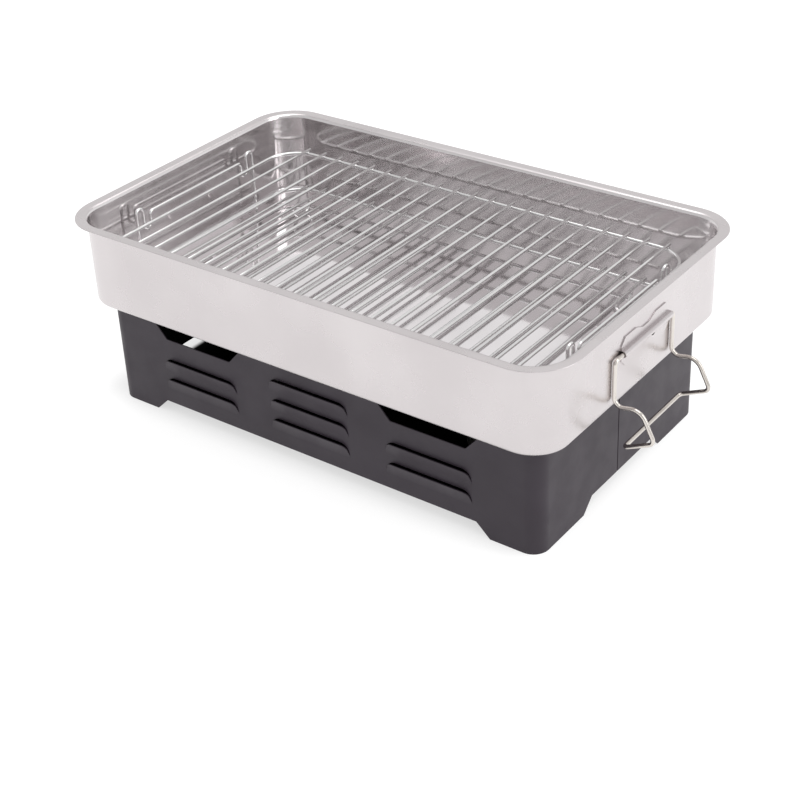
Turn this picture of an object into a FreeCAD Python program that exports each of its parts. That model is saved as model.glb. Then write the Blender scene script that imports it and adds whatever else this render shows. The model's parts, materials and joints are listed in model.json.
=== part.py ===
import FreeCAD, Part
import Sketcher
import os
from math import acos, atan2, pi, sin, tan

# Fish smoker: a deep steel pan that stands on a vented sheet steel stand.
# Two chrome wire grates lie one above the other in the pan, two wire bails hang at its ends,
# and two spirit burners stand on the table inside the stand.
# +X is the long way to the right, +Y is to the rear, +Z is up.
# The origin lies on the table, in the middle of the plan.

DOCUMENT = FreeCAD.newDocument("fish_smoker")
TOLERANCE = 0.001

# Driving sizes in millimetres; louvre_tilt is in degrees, and bar_count is a count.
SIZES = {
    # Pan, pressed from one sheet, with a flat rim all round
    "rim_length": 420.6,
    "rim_width": 258.6,
    "rim_corner": 34.8,
    "rim_lip": 8.5,
    "rim_bend": 3.2,
    "pan_depth": 67.4,
    "pan_sheet": 0.7,
    "pan_floor_round": 4.2,
    # Stand, two bent shells that lap at the ends
    "stand_end_inset": 13.2,
    "stand_side_inset": 12.6,
    "stand_height": 84.0,
    "stand_corner": 12.2,
    "stand_sheet": 1.0,
    "lap_width": 13.4,
    "lap_root": 5.0,
    "seam_gap": 0.4,
    # Raised bottom edges between the feet
    "foot_height": 10.3,
    "front_foot_length": 48.9,
    "end_foot_length": 67.2,
    "foot_slant_run": 10.8,
    # Vent notches in the top edge; the burners stand under them
    "column_inset": 86.9,
    "notch_width": 60.8,
    "notch_depth": 18.6,
    "notch_slant_run": 16.7,
    # Louvres, tongues that are pressed outwards at the top
    "louvre_length": 70.0,
    "louvre_height": 10.0,
    "louvre_corner": 8.0,
    "louvre_tilt": 22.0,
    "louvre_root": 0.6,
    "louvre_first_top": 32.6,
    "louvre_pitch": 16.3,
    # Bail brackets, pressed plates with a channel for the wire
    "bracket_length": 64.0,
    "bracket_sheet": 0.8,
    "bracket_up": 10.5,
    "bracket_down": 10.5,
    "bracket_shoulder": 5.0,
    "bracket_dip_depth": 3.6,
    "bracket_dip_floor": 8.0,
    "bracket_dip_run": 9.0,
    "bracket_dip_round": 5.0,
    "peephole_radius": 2.8,
    "peephole_side": 10.5,
    "peephole_drop": 3.5,
    "peephole_tail_length": 8.0,
    "peephole_tail_width": 1.6,
    # Bails, one bent wire each
    "bail_wire": 3.0,
    "bail_spacing": 77.5,
    "bail_wall_gap": 0.4,
    "bail_fit": 0.1,
    "bail_side_play": 0.15,
    "bail_pivot_drop": 30.9,
    "bail_insert": 18.0,
    "bail_bend": 3.2,
    "bail_leg_drop": 33.9,
    "bail_shelf_out": 19.3,
    "bail_shelf_drop": 29.9,
    "bail_point_out": 30.3,
    "bail_point_drop": 52.1,
    "bail_grip_out": 8.1,
    "bail_grip_drop": 62.1,
    "bail_leg_round": 6.0,
    "bail_shelf_round": 10.0,
    "bail_point_round": 4.0,
    # Grates, a closed frame wire with thinner bars across it
    "grate_shift": -5.0,
    "frame_wire": 3.2,
    "bar_wire": 2.5,
    "weld_sink": 0.3,
    "bar_margin": 20.3,
    "bar_count": 21.0,
    "bar_overhang": 4.0,
    "frame_round": 27.0,
    "upper_end_gap": 15.8,
    "upper_side_gap": 11.1,
    "upper_bar_level": 41.5,
    "lower_end_gap": 18.6,
    "lower_side_gap": 14.1,
    "lower_bar_level": 10.8,
    # Wire feet under the lower grate
    "foot_wire": 2.5,
    "foot_inset": 28.5,
    "foot_top_width": 22.0,
    "foot_base_width": 12.0,
    "foot_round": 4.5,
    # End stands of the upper grate, legs and lifting bar in one wire
    "stand_wire": 2.5,
    "leg_inset": 43.0,
    "leg_gap": 0.3,
    "curl_width": 7.0,
    "curl_round": 3.2,
    "curl_top": 52.3,
    "curl_bottom": 34.8,
    "lift_bar_level": 46.8,
    # Spirit burners
    "cup_radius": 36.0,
    "cup_height": 30.0,
    "cup_sheet": 0.6,
    "cup_round": 5.0,
    "wool_height": 22.0,
    "wool_gap": 0.3,
    "gauze_sheet": 0.8,
    "ring_width": 7.0,
    "ring_height": 4.0,
    "ring_sheet": 0.8,
}

SHEET = DOCUMENT.addObject("Spreadsheet::Sheet", "Sizes")
for row, (alias, number) in enumerate(SIZES.items(), start=1):
    SHEET.set(f"A{row}", alias)
    SHEET.set(f"B{row}", str(number))
    SHEET.setAlias(f"B{row}", alias)
DOCUMENT.recompute()


class Size:
    """A length, with the sheet expression that gives it."""

    def __init__(self, value, text):
        self.value = value
        self.text = text

    def __add__(self, other):
        other = as_size(other)
        return Size(self.value + other.value, f"({self.text} + {other.text})")

    def __sub__(self, other):
        other = as_size(other)
        return Size(self.value - other.value, f"({self.text} - {other.text})")

    def __rsub__(self, other):
        return as_size(other) - self

    def __mul__(self, other):
        other = as_size(other)
        return Size(self.value * other.value, f"({self.text} * {other.text})")

    def __truediv__(self, other):
        other = as_size(other)
        return Size(self.value / other.value, f"({self.text} / {other.text})")

    def __neg__(self):
        return Size(-self.value, f"(0 - {self.text})")

    __radd__ = __add__
    __rmul__ = __mul__


def as_size(item):
    """A plain number as a Size, and a Size as it is."""
    if isinstance(item, Size):
        return item
    return Size(float(item), f"({float(item)})")


def size(alias):
    """The Size of one cell of the sheet."""
    return Size(float(SHEET.get(alias)), f"Sizes.{alias}")


NOTHING = as_size(0)

# Sizes that several pieces share
PAN_TOP = size("stand_height") + size("pan_depth")
WALL_LENGTH = size("rim_length") - 2 * size("rim_lip")
WALL_WIDTH = size("rim_width") - 2 * size("rim_lip")
WALL_CORNER = size("rim_corner") - size("rim_lip")
ROOM_LENGTH = WALL_LENGTH - 2 * size("pan_sheet")
ROOM_WIDTH = WALL_WIDTH - 2 * size("pan_sheet")
STAND_LENGTH = WALL_LENGTH - 2 * size("stand_end_inset")
STAND_WIDTH = WALL_WIDTH - 2 * size("stand_side_inset")
COLUMN = STAND_LENGTH / 2 - size("column_inset")
FLOOR_LEVEL = size("stand_height") + size("pan_sheet")
PIVOT_OUT = WALL_LENGTH / 2 + size("bail_wall_gap") + size("bail_wire") / 2
PIVOT_LEVEL = PAN_TOP - size("bail_pivot_drop")
LOUVRE_FOOT = size("louvre_first_top") - size("louvre_height")
GRATE_LENGTHS = {level: ROOM_LENGTH - 2 * size(f"{level}_end_gap") for level in ("lower", "upper")}
GRATE_WIDTHS = {level: ROOM_WIDTH - 2 * size(f"{level}_side_gap") for level in ("lower", "upper")}
BAR_SPAN = GRATE_LENGTHS["upper"] - 2 * size("bar_margin")
BAR_PITCH = BAR_SPAN / (size("bar_count") - 1)


def origin_plane(body, role):
    """One of the body's own origin planes."""
    for feature in body.Origin.OriginFeatures:
        if feature.Role == role:
            return feature
    raise ValueError(f"no origin plane {role}")


def new_body(name):
    body = DOCUMENT.addObject("PartDesign::Body", name)
    body.Label = name
    return body


def new_sketch(body, name, role, offset=NOTHING):
    """A sketch on an origin plane, moved along the plane's normal by offset."""
    sketch = body.newObject("Sketcher::SketchObject", name)
    sketch.AttachmentSupport = [(origin_plane(body, role), "")]
    sketch.MapMode = "FlatFace"
    sketch.setExpression("AttachmentOffset.Base.z", offset.text)
    sketch.AttachmentOffset = FreeCAD.Placement(
        FreeCAD.Vector(0, 0, offset.value), FreeCAD.Rotation())
    return sketch


class Drawing:
    """Draws in one sketch and binds what it draws to the sheet."""

    def __init__(self, sketch):
        self.sketch = sketch
        self.constraints = []
        self.expressions = {}

    def tie(self, *constraint):
        self.constraints.append(Sketcher.Constraint(*constraint))

    def bind(self, kind, *parts):
        """A dimension whose last part is a Size."""
        length = parts[-1]
        self.expressions[len(self.constraints)] = length.text
        self.tie(kind, *parts[:-1], length.value)

    def fix(self, geometry, point, x, y):
        """Holds a point at x, y from the sketch's origin."""
        self.bind("DistanceX", -1, 1, geometry, point, x)
        self.bind("DistanceY", -1, 1, geometry, point, y)

    def circle(self, x, y, radius):
        centre = FreeCAD.Vector(x.value, y.value, 0)
        shape = Part.Circle(centre, FreeCAD.Vector(0, 0, 1), radius.value)
        number = self.sketch.addGeometry(shape)
        self.fix(number, 3, x, y)
        self.bind("Radius", number, radius)

    def trace(self, corners, closed=True):
        """A run of straight lines through corners (x, y) or rounded corners (x, y, radius)."""
        corners = [[as_size(item) for item in corner] for corner in corners]
        places = [FreeCAD.Vector(c[0].value, c[1].value, 0) for c in corners]
        count = len(corners)
        arcs = {}
        for i, corner in enumerate(corners):
            if len(corner) == 3:
                before, after = places[i - 1], places[(i + 1) % count]
                arcs[i] = corner_arc(before, places[i], after, corner[2].value)
        lines = []
        for i in range(count if closed else count - 1):
            j = (i + 1) % count
            start = arcs[i]["leave"] if i in arcs else places[i]
            finish = arcs[j]["enter"] if j in arcs else places[j]
            lines.append(self.sketch.addGeometry(Part.LineSegment(start, finish)))
        for i, corner in enumerate(corners):
            self.join_corner(i, corner, places[i], arcs.get(i), lines, closed)

    def join_corner(self, i, corner, place, arc, lines, closed):
        """Joins the two lines at one corner, sharp or round."""
        last = len(lines)
        if not closed and i == 0:
            self.fix(lines[0], 1, corner[0], corner[1])
        elif not closed and i == last:
            self.fix(lines[-1], 2, corner[0], corner[1])
        elif arc is None:
            self.tie("Coincident", lines[i - 1], 2, lines[i], 1)
            self.fix(lines[i], 1, corner[0], corner[1])
        else:
            number = self.sketch.addGeometry(arc["shape"])
            point = self.sketch.addGeometry(Part.Point(place), True)
            enter, leave = (1, 2) if arc["left"] else (2, 1)
            self.tie("Tangent", lines[i - 1], 2, number, enter)
            self.tie("Tangent", number, leave, lines[i], 1)
            self.tie("PointOnObject", point, 1, lines[i - 1])
            self.tie("PointOnObject", point, 1, lines[i])
            self.bind("Radius", number, corner[2])
            self.fix(point, 1, corner[0], corner[1])

    def finish(self):
        """Adds the constraints and their expressions, and returns the sketch."""
        self.sketch.addConstraint(self.constraints)
        for number, text in self.expressions.items():
            name = f"size_{number}"
            self.sketch.renameConstraint(number, name)
            self.sketch.setExpression(f"Constraints.{name}", text)
        return self.sketch


def corner_arc(before, corner, after, radius):
    """The arc of this radius that rounds a corner, and where it leaves the two lines."""
    back = (before - corner).normalize()
    ahead = (after - corner).normalize()
    half_angle = acos(max(-1.0, min(1.0, back.dot(ahead)))) / 2
    setback = radius / tan(half_angle)
    enter = corner + back * setback
    leave = corner + ahead * setback
    centre = corner + (back + ahead).normalize() * (radius / sin(half_angle))
    left = (corner - before).cross(after - corner).z > 0
    first, second = (enter, leave) if left else (leave, enter)
    start_angle = atan2(first.y - centre.y, first.x - centre.x)
    end_angle = atan2(second.y - centre.y, second.x - centre.x)
    circle = Part.Circle(centre, FreeCAD.Vector(0, 0, 1), radius)
    shape = Part.ArcOfCircle(circle, start_angle, end_angle)
    return {"shape": shape, "enter": enter, "leave": leave, "left": left}


def rounded_rectangle(length, width, radius):
    """The corners of a rectangle about the origin, anticlockwise from the front left."""
    x, y = length / 2, width / 2
    return [(-x, -y, radius), (x, -y, radius), (x, y, radius), (-x, y, radius)]


def pad(body, sketch, name, length, symmetric=False, backwards=False):
    feature = body.newObject("PartDesign::Pad", name)
    feature.Profile = sketch
    feature.SideType = "Symmetric" if symmetric else "One side"
    feature.Reversed = backwards
    feature.Length = length.value
    feature.setExpression("Length", length.text)
    DOCUMENT.recompute()
    return feature


def pocket(body, sketch, name, length, symmetric=False, backwards=False):
    """A pocket of this depth, which must take something off the body."""
    volume_before = body.Shape.Volume
    feature = body.newObject("PartDesign::Pocket", name)
    feature.Profile = sketch
    feature.SideType = "Symmetric" if symmetric else "One side"
    feature.Reversed = backwards
    feature.Length = length.value
    feature.setExpression("Length", length.text)
    DOCUMENT.recompute()
    if feature.Shape.Volume >= volume_before:
        raise ValueError(f"{body.Name}: pocket {name} cuts nothing")
    return feature


def fillet(body, base, name, edges, radius):
    feature = body.newObject("PartDesign::Fillet", name)
    feature.Base = (base, edges)
    feature.Radius = radius.value
    feature.setExpression("Radius", radius.text)
    DOCUMENT.recompute()
    return feature


def level_edges(shape, level, reach_x, reach_y):
    """The names of the flat edges at one level, no further out than reach_x and reach_y."""
    names = []
    for number, edge in enumerate(shape.Edges, start=1):
        box = edge.BoundBox
        flat = abs(box.ZMin - level) < TOLERANCE and abs(box.ZMax - level) < TOLERANCE
        near = box.XMax < reach_x + TOLERANCE and box.YMax < reach_y + TOLERANCE
        far_side = box.XMin > -reach_x - TOLERANCE and box.YMin > -reach_y - TOLERANCE
        if flat and near and far_side:
            names.append(f"Edge{number}")
    return names


def top_faces(shape, level):
    """The names of the flat faces that lie at one level."""
    names = []
    for number, face in enumerate(shape.Faces, start=1):
        box = face.BoundBox
        if abs(box.ZMin - level) < TOLERANCE and abs(box.ZMax - level) < TOLERANCE:
            names.append(f"Face{number}")
    return names


def pipe(body, name, path, profile):
    """A wire of the profile's section along the path."""
    feature = body.newObject("PartDesign::AdditivePipe", name)
    feature.Profile = profile
    feature.Spine = path
    DOCUMENT.recompute()
    return feature


def place(item, x=NOTHING, y=NOTHING, z=NOTHING, half_turn=False):
    """Puts a finished piece at x, y, z, turned half round when half_turn is set."""
    turn = FreeCAD.Rotation(FreeCAD.Vector(0, 0, 1), 180 if half_turn else 0)
    item.Placement = FreeCAD.Placement(FreeCAD.Vector(x.value, y.value, z.value), turn)
    item.setExpression("Placement.Base.x", x.text)
    item.setExpression("Placement.Base.y", y.text)
    item.setExpression("Placement.Base.z", z.text)


# Stand: two equal shells, the rear one turned half round. Each has an outer edge at one end
# and a set-in tongue at the other, which lies behind the other shell's edge.


def shell_plan():
    """The section of one shell, seen from above."""
    x, y = STAND_LENGTH / 2, STAND_WIDTH / 2
    sheet, corner = size("stand_sheet"), size("stand_corner")
    lap = size("lap_width") / 2
    seam = -lap - size("seam_gap")
    root = seam - size("lap_root")
    inner_corner = corner - sheet
    return [
        (-x, lap), (-x, -y, corner), (x, -y, corner), (x, seam),
        (x - sheet, seam), (x - sheet, lap), (x - 2 * sheet, lap),
        (x - 2 * sheet, root), (x - sheet, root),
        (x - sheet, sheet - y, inner_corner), (sheet - x, sheet - y, inner_corner),
        (sheet - x, lap),
    ]


def arch(wall, foot_length):
    """The raised bottom edge of a wall, between its two feet."""
    half = wall / 2 - foot_length
    run, rise = size("foot_slant_run"), size("foot_height")
    return [(-half - run, NOTHING), (half + run, NOTHING), (half, rise), (-half, rise)]


def notch(centre):
    """A vent notch in the top edge, wider at the top."""
    half, run = size("notch_width") / 2, size("notch_slant_run")
    top, bottom = size("stand_height"), size("stand_height") - size("notch_depth")
    return [(centre - half, bottom), (centre + half, bottom),
            (centre + half + run, top), (centre - half - run, top)]


def louvre(centre, foot):
    """The cut line of a louvre: a flat foot and two round shoulders."""
    half, top = size("louvre_length") / 2, foot + size("louvre_height")
    corner = size("louvre_corner")
    return [(centre - half, foot), (centre + half, foot),
            (centre + half, top, corner), (centre - half, top, corner)]


def louvre_columns(row):
    """The centres of the louvres in one row: the third row has only the middle one."""
    return [NOTHING] if row == 2 else [-COLUMN, NOTHING, COLUMN]


def make_stand_shell(name, half_turn):
    body = new_body(name)
    plan = Drawing(new_sketch(body, f"{name}_plan", "XY_Plane"))
    plan.trace(shell_plan())
    pad(body, plan.finish(), f"{name}_wall", size("stand_height"))

    cuts = Drawing(new_sketch(body, f"{name}_front_cuts", "XZ_Plane"))
    cuts.trace(arch(STAND_LENGTH, size("front_foot_length")))
    for side in (-1, 1):
        cuts.trace(notch(side * COLUMN))
    for row in range(3):
        foot = LOUVRE_FOOT + row * size("louvre_pitch")
        for centre in louvre_columns(row):
            cuts.trace(louvre(centre, foot))
    pocket(body, cuts.finish(), f"{name}_front_openings", STAND_WIDTH, backwards=True)

    end_cut = Drawing(new_sketch(body, f"{name}_end_cut", "YZ_Plane"))
    end_cut.trace(arch(STAND_WIDTH, size("end_foot_length")))
    pocket(body, end_cut.finish(), f"{name}_end_arches", 2 * STAND_LENGTH, symmetric=True)

    for row in range(3):
        make_louvre_row(body, name, row)
    place(body, half_turn=half_turn)
    return body


def make_louvre_row(body, name, row):
    """The tongues of one row, each tilted outwards about its foot line."""
    foot = LOUVRE_FOOT + row * size("louvre_pitch")
    tilt, front = size("louvre_tilt"), STAND_WIDTH / 2
    sketch = new_sketch(body, f"{name}_louvre_row_{row}", "XZ_Plane", front)
    sketch.AttachmentOffset = FreeCAD.Placement(
        FreeCAD.Vector(0, foot.value, front.value),
        FreeCAD.Rotation(FreeCAD.Vector(1, 0, 0), tilt.value))
    sketch.setExpression("AttachmentOffset.Base.y", foot.text)
    sketch.setExpression("AttachmentOffset.Rotation.Angle", tilt.text)
    tongues = Drawing(sketch)
    half, corner = size("louvre_length") / 2, size("louvre_corner")
    top, root = size("louvre_height"), -size("louvre_root")
    for centre in louvre_columns(row):
        tongues.trace([(centre - half, root), (centre + half, root),
                       (centre + half, top, corner), (centre - half, top, corner)])
    pad(body, tongues.finish(), f"{name}_tongues_{row}", size("stand_sheet"), backwards=True)


# Pan: walls, floor and rim from one sheet, with round floor edges and a soft rim bend.


def make_pan():
    body = new_body("pan_shell")
    depth, sheet = size("pan_depth"), size("pan_sheet")
    outer = Drawing(new_sketch(body, "pan_wall_plan", "XY_Plane"))
    outer.trace(rounded_rectangle(WALL_LENGTH, WALL_WIDTH, WALL_CORNER))
    block = pad(body, outer.finish(), "pan_block", depth)
    half_x, half_y = WALL_LENGTH.value / 2, WALL_WIDTH.value / 2
    underside = level_edges(block.Shape, 0, half_x, half_y)
    rounding = size("pan_floor_round")
    round_block = fillet(body, block, "pan_underside_round", underside, rounding)
    thickness = body.newObject("PartDesign::Thickness", "pan_hollow")
    thickness.Base = (round_block, top_faces(round_block.Shape, depth.value))
    thickness.Value = sheet.value
    thickness.setExpression("Value", sheet.text)
    thickness.Reversed = True
    DOCUMENT.recompute()

    rim = Drawing(new_sketch(body, "pan_rim_plan", "XY_Plane", depth))
    rim.trace(rounded_rectangle(size("rim_length"), size("rim_width"), size("rim_corner")))
    rim.trace(rounded_rectangle(ROOM_LENGTH, ROOM_WIDTH, WALL_CORNER - sheet))
    plate = pad(body, rim.finish(), "pan_rim", sheet, backwards=True)
    throat = level_edges(plate.Shape, (depth - sheet).value, half_x, half_y)
    bend = fillet(body, plate, "pan_throat_round", throat, size("rim_bend") - sheet)
    mouth = level_edges(bend.Shape, depth.value, half_x, half_y)
    fillet(body, bend, "pan_mouth_bend", mouth, size("rim_bend"))
    place(body, z=size("stand_height"))
    return body


# Bail bracket: a plate on the pan's end wall, pressed out into a channel that holds the bail.


def bracket_section():
    """The section square to the channel, from the wall plane outwards."""
    sheet = size("bracket_sheet")
    axis = size("bail_wall_gap") + size("bail_wire") / 2
    bore = size("bail_wire") / 2 + size("bail_fit")
    outer = bore + sheet
    up, down = size("bracket_up"), -size("bracket_down")
    # The channel's nose is round: each corner's radius is nearly its whole half height
    nose_out, nose_in = axis + outer, axis + bore
    return [
        (NOTHING, down), (sheet, down), (sheet, -outer),
        (nose_out, -outer, outer - TOLERANCE), (nose_out, outer, outer - TOLERANCE),
        (sheet, outer), (sheet, up), (NOTHING, up), (NOTHING, bore),
        (nose_in, bore, bore - TOLERANCE), (nose_in, -bore, bore - TOLERANCE),
        (NOTHING, -bore),
    ]


def make_bracket(name, half_turn):
    body = new_body(name)
    length, up = size("bracket_length"), size("bracket_up")
    section = Drawing(new_sketch(body, f"{name}_section", "XZ_Plane"))
    section.trace(bracket_section())
    pad(body, section.finish(), f"{name}_strip", length, symmetric=True)

    trim = Drawing(new_sketch(body, f"{name}_trim", "YZ_Plane"))
    half, shoulder, down = length / 2, size("bracket_shoulder"), size("bracket_down")
    for side in (-1, 1):
        end = side * half
        trim.trace([(end, up), (end - side * shoulder, up), (end, up - shoulder)])
        trim.trace([(end, -down), (end - side * shoulder, -down), (end, shoulder - down)])
    dip, run = size("bracket_dip_floor") / 2, size("bracket_dip_run")
    bottom, rounding = up - size("bracket_dip_depth"), size("bracket_dip_round")
    trim.trace([(-dip - run, up), (-dip, bottom, rounding), (dip, bottom, rounding),
                (dip + run, up)])
    depth = 4 * size("bail_wire")
    pocket(body, trim.finish(), f"{name}_outline", depth, backwards=True)

    hole = Drawing(new_sketch(body, f"{name}_peephole_plan", "YZ_Plane"))
    hole.circle(size("peephole_side"), -size("peephole_drop"), size("peephole_radius"))
    pocket(body, hole.finish(), f"{name}_peephole", depth, backwards=True)

    tail = Drawing(new_sketch(body, f"{name}_tail_plan", "YZ_Plane"))
    middle, low = size("peephole_side"), -size("peephole_drop") - size("peephole_tail_width")
    far = middle - size("peephole_tail_length")
    high = low + size("peephole_tail_width")
    tail.trace([(far, low), (middle, low), (middle, high), (far, high)])
    pocket(body, tail.finish(), f"{name}_peephole_tail", depth, backwards=True)
    reach = WALL_LENGTH / 2
    place(body, x=-reach if half_turn else reach, z=PIVOT_LEVEL, half_turn=half_turn)
    return body


# Bail: one wire, its two ends turned in under the bracket's channel. It hangs slid to one side,
# with one bend against the bracket's end.


def bent_wire(corners, diameter):
    """A round wire along straight runs that are joined by arcs, from (point, radius) pairs."""
    points = [point for point, radius in corners]
    edges = []
    start = points[0]
    for i in range(1, len(points) - 1):
        corner, radius = corners[i]
        back = (points[i - 1] - corner).normalize()
        ahead = (points[i + 1] - corner).normalize()
        half_angle = acos(back.dot(ahead)) / 2
        enter = corner + back * (radius / tan(half_angle))
        leave = corner + ahead * (radius / tan(half_angle))
        inward = (back + ahead).normalize()
        middle = corner + inward * (radius / sin(half_angle) - radius)
        edges.append(Part.LineSegment(start, enter).toShape())
        edges.append(Part.Arc(enter, middle, leave).toShape())
        start = leave
    edges.append(Part.LineSegment(start, points[-1]).toShape())
    path = Part.Wire(edges)
    heading = points[1] - points[0]
    section = Part.Wire([Part.makeCircle(diameter / 2, points[0], heading)])
    solid = path.makePipeShell([section], True, False)
    wanted = pi * diameter ** 2 / 4 * path.Length
    print("wire", round(path.Length, 1), "mm long, volume ratio", round(solid.Volume / wanted, 4))
    return solid


def make_bail(name, half_turn):
    value = {alias: float(SHEET.get(alias)) for alias in SIZES if alias.startswith("bail")}
    bracket_end = float(SHEET.get("bracket_length")) / 2
    bend = value["bail_bend"]
    rear = bracket_end + value["bail_side_play"] + bend
    front = rear - value["bail_spacing"]
    side_profile = [
        (0.0, 0.0, bend),
        (0.0, value["bail_leg_drop"], value["bail_leg_round"]),
        (value["bail_shelf_out"], value["bail_shelf_drop"], value["bail_shelf_round"]),
        (value["bail_point_out"], value["bail_point_drop"], value["bail_point_round"]),
        (value["bail_grip_out"], value["bail_grip_drop"], bend),
    ]
    inner_front = -bracket_end + value["bail_insert"]
    inner_rear = bracket_end - value["bail_insert"]
    corners = [(FreeCAD.Vector(0, inner_front, 0), 0)]
    corners += [(FreeCAD.Vector(x, front, -drop), r) for x, drop, r in side_profile]
    corners += [(FreeCAD.Vector(x, rear, -drop), r) for x, drop, r in reversed(side_profile)]
    corners += [(FreeCAD.Vector(0, inner_rear, 0), 0)]
    feature = DOCUMENT.addObject("Part::Feature", name)
    feature.Label = name
    feature.Shape = bent_wire(corners, value["bail_wire"])
    place(feature, x=-PIVOT_OUT if half_turn else PIVOT_OUT, z=PIVOT_LEVEL, half_turn=half_turn)
    return feature


# Grates: both have the same pitch of bars. Levels are measured from the pan's inside floor.


def make_frame(name, length, width, bar_level):
    """The closed frame wire, which the bars lie on."""
    body = new_body(name)
    radius = size("frame_wire") / 2
    level = bar_level - size("bar_wire") / 2 - radius + size("weld_sink")
    path = Drawing(new_sketch(body, f"{name}_path", "XY_Plane", level))
    corners = rounded_rectangle(length, width, size("frame_round"))
    path.trace([(NOTHING, -width / 2)] + corners[1:] + corners[:1])
    section = Drawing(new_sketch(body, f"{name}_section", "YZ_Plane"))
    section.circle(-width / 2, level, radius)
    pipe(body, f"{name}_wire", path.finish(), section.finish())
    place(body, x=size("grate_shift"), z=FLOOR_LEVEL)
    return body


def make_bars(name, width, bar_level):
    """The cross bars, each as long as the frame is wide, and a little over."""
    body = new_body(name)
    count = size("bar_count")
    section = Drawing(new_sketch(body, f"{name}_section", "XZ_Plane"))
    section.circle(-BAR_SPAN / 2, bar_level, size("bar_wire") / 2)
    sketch = section.finish()
    bar = pad(body, sketch, f"{name}_first", width + 2 * size("bar_overhang"), symmetric=True)
    row = body.newObject("PartDesign::LinearPattern", f"{name}_row")
    row.Originals = [bar]
    row.Direction = (sketch, ["H_Axis"])
    row.Occurrences = int(count.value)
    row.setExpression("Occurrences", count.text)
    row.setExpression("Length", BAR_SPAN.text)
    body.Tip = row
    DOCUMENT.recompute()
    place(body, x=size("grate_shift"), z=FLOOR_LEVEL)
    return body


def make_lower_feet():
    """Four wire feet, each under the last bar but one of the lower grate."""
    name = "lower_grate_feet"
    body = new_body(name)
    across = BAR_SPAN / 2 - BAR_PITCH
    radius = size("foot_wire") / 2
    side = GRATE_WIDTHS["lower"] / 2 - size("foot_inset")
    top = size("lower_bar_level") - size("bar_wire") / 2 + size("weld_sink")
    wide, narrow = size("foot_top_width") / 2, size("foot_base_width") / 2
    path = Drawing(new_sketch(body, f"{name}_path", "YZ_Plane", across))
    rounding = size("foot_round")
    start = side - wide
    knee = top - size("foot_wire")
    path.trace([(start, top), (start, knee, rounding), (side - narrow, radius, rounding),
                (side + narrow, radius, rounding), (side + wide, knee, rounding),
                (side + wide, top)], closed=False)
    section = Drawing(new_sketch(body, f"{name}_section", "XY_Plane", top))
    section.circle(across, start, radius)
    foot = pipe(body, f"{name}_first", path.finish(), section.finish())
    mirrors = []
    for role in ("XZ_Plane", "YZ_Plane"):
        mirror = body.newObject("PartDesign::Mirrored", f"{name}_{role}")
        mirror.MirrorPlane = (origin_plane(body, role), [""])
        mirrors.append(mirror)
    group = body.newObject("PartDesign::MultiTransform", f"{name}_group")
    group.Originals = [foot]
    group.Transformations = mirrors
    body.Tip = group
    DOCUMENT.recompute()
    place(body, x=size("grate_shift"), z=FLOOR_LEVEL)
    return body


def end_stand_path():
    """Half of the end stand's path, from the front foot to the lifting bar."""
    leg = GRATE_WIDTHS["upper"] / 2 - size("leg_inset")
    step, rounding, foot = size("curl_width"), size("curl_round"), size("leg_gap")
    top, bottom, bar = size("curl_top"), size("curl_bottom"), size("lift_bar_level")
    return [(-leg, foot), (-leg, top, rounding), (step - leg, top, rounding),
            (step - leg, bottom, rounding), (2 * step - leg, bottom, rounding),
            (2 * step - leg, bar, rounding)]


def make_end_stand(name, half_turn):
    """The legs and the lifting bar at one end of the upper grate, one wire in one plane."""
    body = new_body(name)
    radius = size("stand_wire") / 2
    frame_out = GRATE_LENGTHS["upper"] / 2 + size("frame_wire") / 2
    out = frame_out + radius - size("weld_sink")
    path = Drawing(new_sketch(body, f"{name}_path", "YZ_Plane", out))
    front = end_stand_path()
    rear = [(-corner[0],) + tuple(corner[1:]) for corner in reversed(front)]
    path.trace(front + rear, closed=False)
    section = Drawing(new_sketch(body, f"{name}_section", "XY_Plane", front[0][1]))
    section.circle(out, front[0][0], radius)
    pipe(body, f"{name}_wire", path.finish(), section.finish())
    place(body, x=size("grate_shift"), z=FLOOR_LEVEL, half_turn=half_turn)
    return body


# Spirit burners: a pressed cup with a wool pad, a gauze disc on it and a ring that holds both.


def revolve(name, corners):
    """A turned piece from its half section in the XZ plane."""
    body = new_body(name)
    sketch = new_sketch(body, f"{name}_section", "XZ_Plane")
    section = Drawing(sketch)
    section.trace(corners)
    section.finish()
    feature = body.newObject("PartDesign::Revolution", f"{name}_turned")
    feature.Profile = sketch
    feature.ReferenceAxis = (sketch, ["V_Axis"])
    feature.Angle = 360
    DOCUMENT.recompute()
    return body


def disc(name, radius, height):
    feature = DOCUMENT.addObject("Part::Cylinder", name)
    feature.Label = name
    feature.setExpression("Radius", radius.text)
    feature.setExpression("Height", height.text)
    return feature


def make_burner(side_name, side):
    radius, height = size("cup_radius"), size("cup_height")
    sheet, rounding = size("cup_sheet"), size("cup_round")
    across = side * COLUMN
    cup = revolve(f"burner_{side_name}_cup", [
        (NOTHING, NOTHING), (radius, NOTHING, rounding), (radius, height),
        (radius - sheet, height), (radius - sheet, sheet, rounding - sheet),
        (NOTHING, sheet)])
    place(cup, x=across)
    fill = radius - sheet - size("wool_gap")
    wool = disc(f"burner_{side_name}_wool_pad", fill, size("wool_height") - rounding)
    place(wool, x=across, z=rounding)
    gauze = disc(f"burner_{side_name}_gauze", fill, size("gauze_sheet"))
    place(gauze, x=across, z=size("wool_height"))
    hold = size("wool_height") + size("gauze_sheet")
    thick = size("ring_sheet")
    ring = revolve(f"burner_{side_name}_ring", [
        (fill - size("ring_width"), NOTHING), (fill, NOTHING), (fill, size("ring_height")),
        (fill - thick, size("ring_height")), (fill - thick, thick),
        (fill - size("ring_width"), thick)])
    place(ring, x=across, z=hold)
    return [cup, wool, gauze, ring]


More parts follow.
